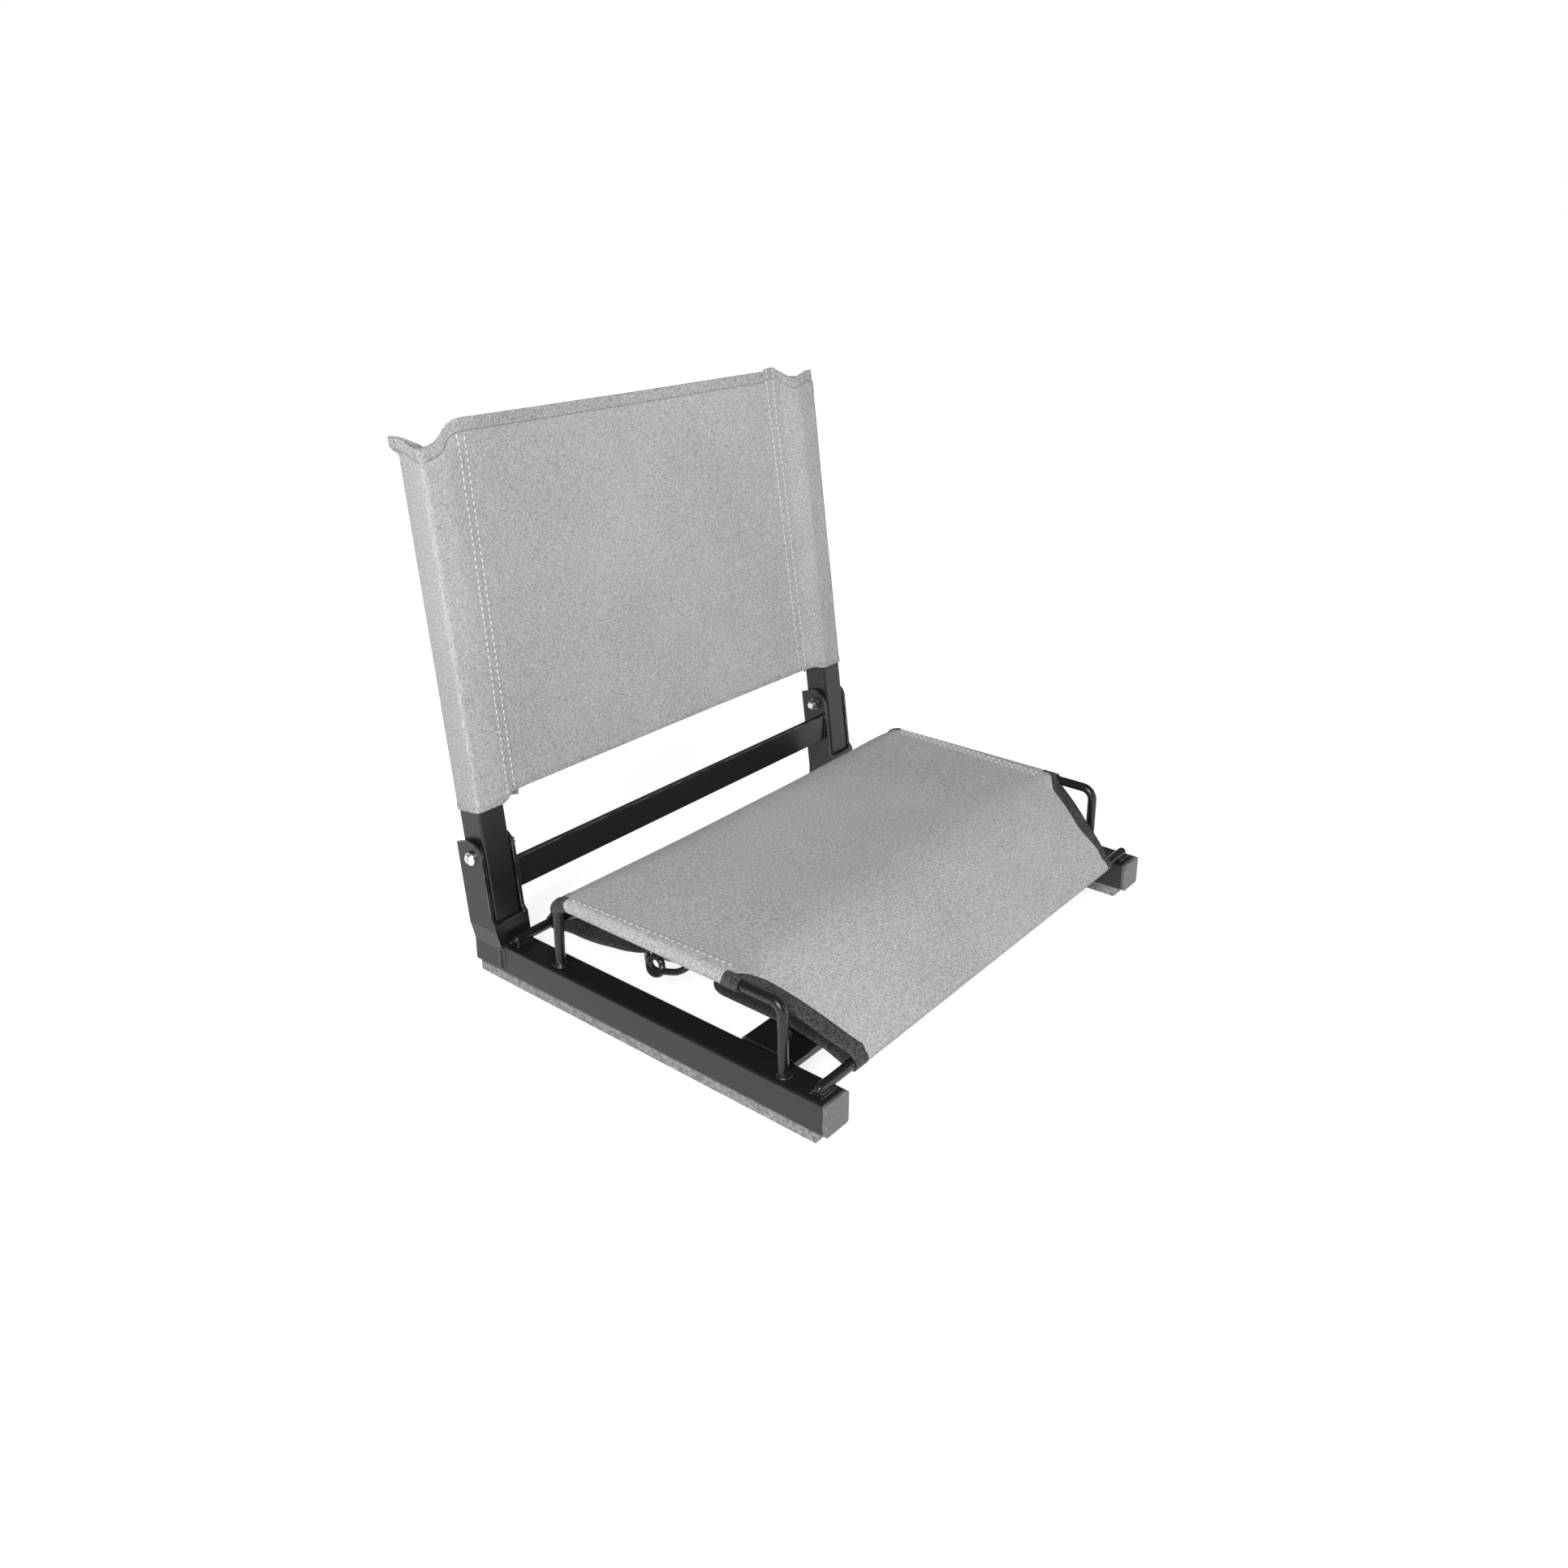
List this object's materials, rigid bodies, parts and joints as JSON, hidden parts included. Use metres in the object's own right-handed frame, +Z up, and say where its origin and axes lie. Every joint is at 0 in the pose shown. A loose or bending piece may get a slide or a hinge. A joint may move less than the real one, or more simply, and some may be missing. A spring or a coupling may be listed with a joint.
{
  "type": "folding stadium seat",
  "caption": "Low folding stadium seat with a steel rail base, a laced cloth seat on bent wires and a cloth back that folds down over the seat.",
  "frame": {"origin": "centre of the bounding box at floor level", "axes": "+Z up, -Y the way the sitter faces, +X to the sitter's left"},
  "size_m": [0.4824, 0.4041, 0.4435],
  "materials": {
    "black_steel": "gloss black powder coat",
    "grey_plastic": "moulded, satin",
    "plated_steel": "bright zinc plate",
    "black_eyelet": "black enamel",
    "grey_rubber": "ribbed, matt",
    "grey_cloth": "coated canvas weave",
    "dark_tape": "woven edge tape",
    "black_cord": "braided elastic cord",
    "nylon": "natural nylon"
  },
  "bodies": {
    "base": {"left_rail": "black_steel", "right_rail": "black_steel", "left_front_cap": "grey_plastic", "right_front_cap": "grey_plastic", "left_rear_cap": "grey_plastic", "right_rear_cap": "grey_plastic", "left_foot": "grey_rubber", "right_foot": "grey_rubber", "foot_screws": "plated_steel", "left_bracket": "black_steel", "right_bracket": "black_steel", "rear_crossbar": "black_steel", "front_plate": "black_steel", "plate_bolts": "plated_steel", "plate_nuts": "plated_steel", "left_seat_wire": "black_steel", "right_seat_wire": "black_steel", "front_rod": "black_steel", "rear_rod": "black_steel", "seat_cover": "grey_cloth", "seat_binding": "dark_tape", "flap_binding": "dark_tape", "flap_eyelets": "black_eyelet", "seat_lacing": "black_cord", "pivot_bolts": "plated_steel", "pivot_nuts": "plated_steel", "pivot_bushes": "plated_steel", "pivot_washers": "nylon"},
    "back": {"left_back_tube": "black_steel", "right_back_tube": "black_steel", "left_top_plug": "grey_plastic", "right_top_plug": "grey_plastic", "left_bottom_plug": "grey_plastic", "right_bottom_plug": "grey_plastic", "back_cover": "grey_cloth"}
  },
  "joints": [
    {"name": "back_fold", "type": "hinge", "parent": "base", "child": "back", "pos_m": [0, 0.14632, 0.106], "axis": [1, 0, 0], "range_deg": [0, 94]}
  ]
}
